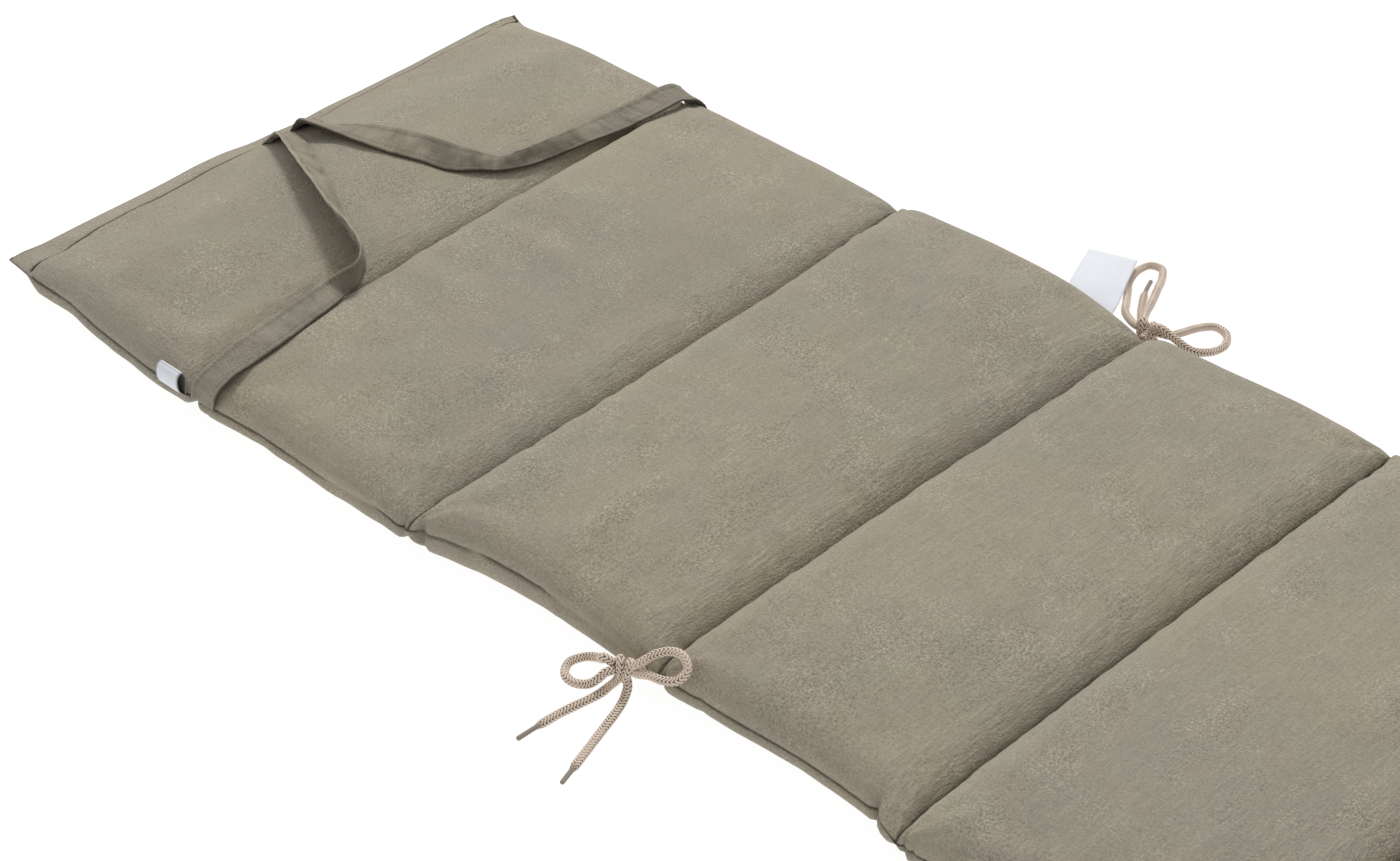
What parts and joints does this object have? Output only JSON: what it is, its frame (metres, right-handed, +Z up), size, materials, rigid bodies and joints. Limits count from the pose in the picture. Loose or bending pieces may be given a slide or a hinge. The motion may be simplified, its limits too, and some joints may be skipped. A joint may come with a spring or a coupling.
{
  "type": "recliner cushion",
  "caption": "Long padded recliner cushion, sewn across into folding panels, with cloth straps at its head end and cord ties at its sides.",
  "frame": {"origin": "middle of the flat underside, on the surface that the cushion lies on", "axes": "+X from the head end, which carries the straps, to the foot end; +Y across to the far long side; +Z up out of the padded face"},
  "size_m": [1.7793, 0.6931, 0.0753],
  "materials": {
    "cover_cloth": "matt woven cloth, heathered grey-brown with fine slubs running across the cushion",
    "tie_cord": "round braided cord, beige with darker strands",
    "label_cloth": "smooth white label cloth, unprinted"
  },
  "bodies": {
    "root": {"cushion": "cover_cloth", "strap_near": "cover_cloth", "strap_far": "cover_cloth", "care_label": "label_cloth", "side_label": "label_cloth", "tie_near_knot": "tie_cord", "tie_near_loop_head": "tie_cord", "tie_near_loop_foot": "tie_cord", "tie_near_tail_head": "tie_cord", "tie_near_tail_foot": "tie_cord", "tie_far_knot": "tie_cord", "tie_far_loop_head": "tie_cord", "tie_far_loop_foot": "tie_cord", "tie_far_tail_head": "tie_cord", "tie_far_tail_foot": "tie_cord"}
  },
  "joints": []
}
